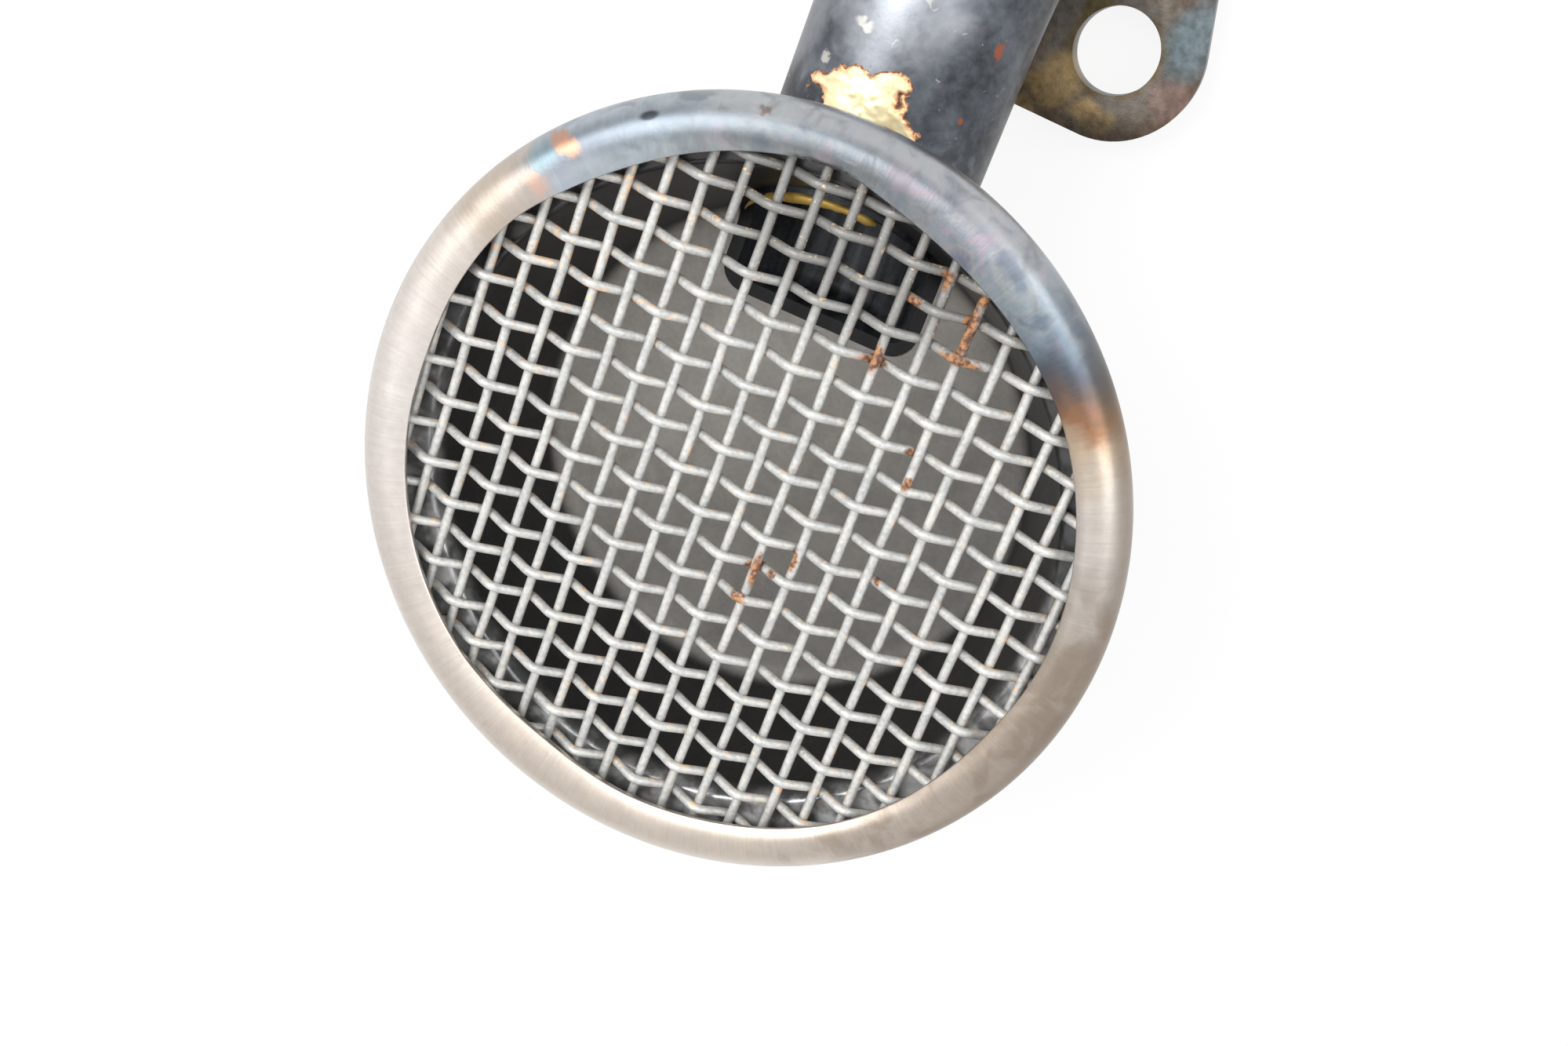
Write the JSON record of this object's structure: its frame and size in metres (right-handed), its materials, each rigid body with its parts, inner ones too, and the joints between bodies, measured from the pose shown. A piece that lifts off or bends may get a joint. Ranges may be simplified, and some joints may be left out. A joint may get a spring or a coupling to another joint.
{
  "type": "oil pickup screen",
  "caption": "Oil pickup with a woven wire screen under the rolled lip of a round steel cup, brazed to a bent tube with a two-bolt flange.",
  "frame": {"origin": "centre of the tube's outlet on the flange's mating face", "axes": "+Z out of the mating face into the flange, towards the side that the screen faces; the tube runs back from the outlet to the cup along -Y"},
  "size_m": [0.0704, 0.1133, 0.0419],
  "materials": {
    "cup_steel": "bare pressed steel, straw, blue and purple heat tint on the lip by the joint",
    "tube_steel": "dark blue-grey heat-oxidised steel with pale scuffs",
    "flange_steel": "steel plate with brown, gold and blue heat bands",
    "screen_wire": "pale grey plated wire with orange rust specks",
    "braze_brass": "pale gold braze with a copper-brown ragged edge"
  },
  "bodies": {
    "root": {"strainer_cup": "cup_steel", "pickup_tube": "tube_steel", "mounting_flange": "flange_steel", "cup_braze": "braze_brass", "flange_braze": "braze_brass", "warp_wire_01": "screen_wire", "warp_wire_02": "screen_wire", "warp_wire_03": "screen_wire", "warp_wire_04": "screen_wire", "warp_wire_05": "screen_wire", "warp_wire_06": "screen_wire", "warp_wire_07": "screen_wire", "warp_wire_08": "screen_wire", "warp_wire_09": "screen_wire", "warp_wire_10": "screen_wire", "warp_wire_11": "screen_wire", "warp_wire_12": "screen_wire", "warp_wire_13": "screen_wire", "warp_wire_14": "screen_wire", "warp_wire_15": "screen_wire", "warp_wire_16": "screen_wire", "warp_wire_17": "screen_wire", "warp_wire_18": "screen_wire", "warp_wire_19": "screen_wire", "warp_wire_20": "screen_wire", "weft_wire_01": "screen_wire", "weft_wire_02": "screen_wire", "weft_wire_03": "screen_wire", "weft_wire_04": "screen_wire", "weft_wire_05": "screen_wire", "weft_wire_06": "screen_wire", "weft_wire_07": "screen_wire", "weft_wire_08": "screen_wire", "weft_wire_09": "screen_wire", "weft_wire_10": "screen_wire", "weft_wire_11": "screen_wire", "weft_wire_12": "screen_wire", "weft_wire_13": "screen_wire", "weft_wire_14": "screen_wire", "weft_wire_15": "screen_wire", "weft_wire_16": "screen_wire", "weft_wire_17": "screen_wire", "weft_wire_18": "screen_wire", "weft_wire_19": "screen_wire", "weft_wire_20": "screen_wire", "weft_wire_21": "screen_wire", "weft_wire_22": "screen_wire"}
  },
  "joints": []
}
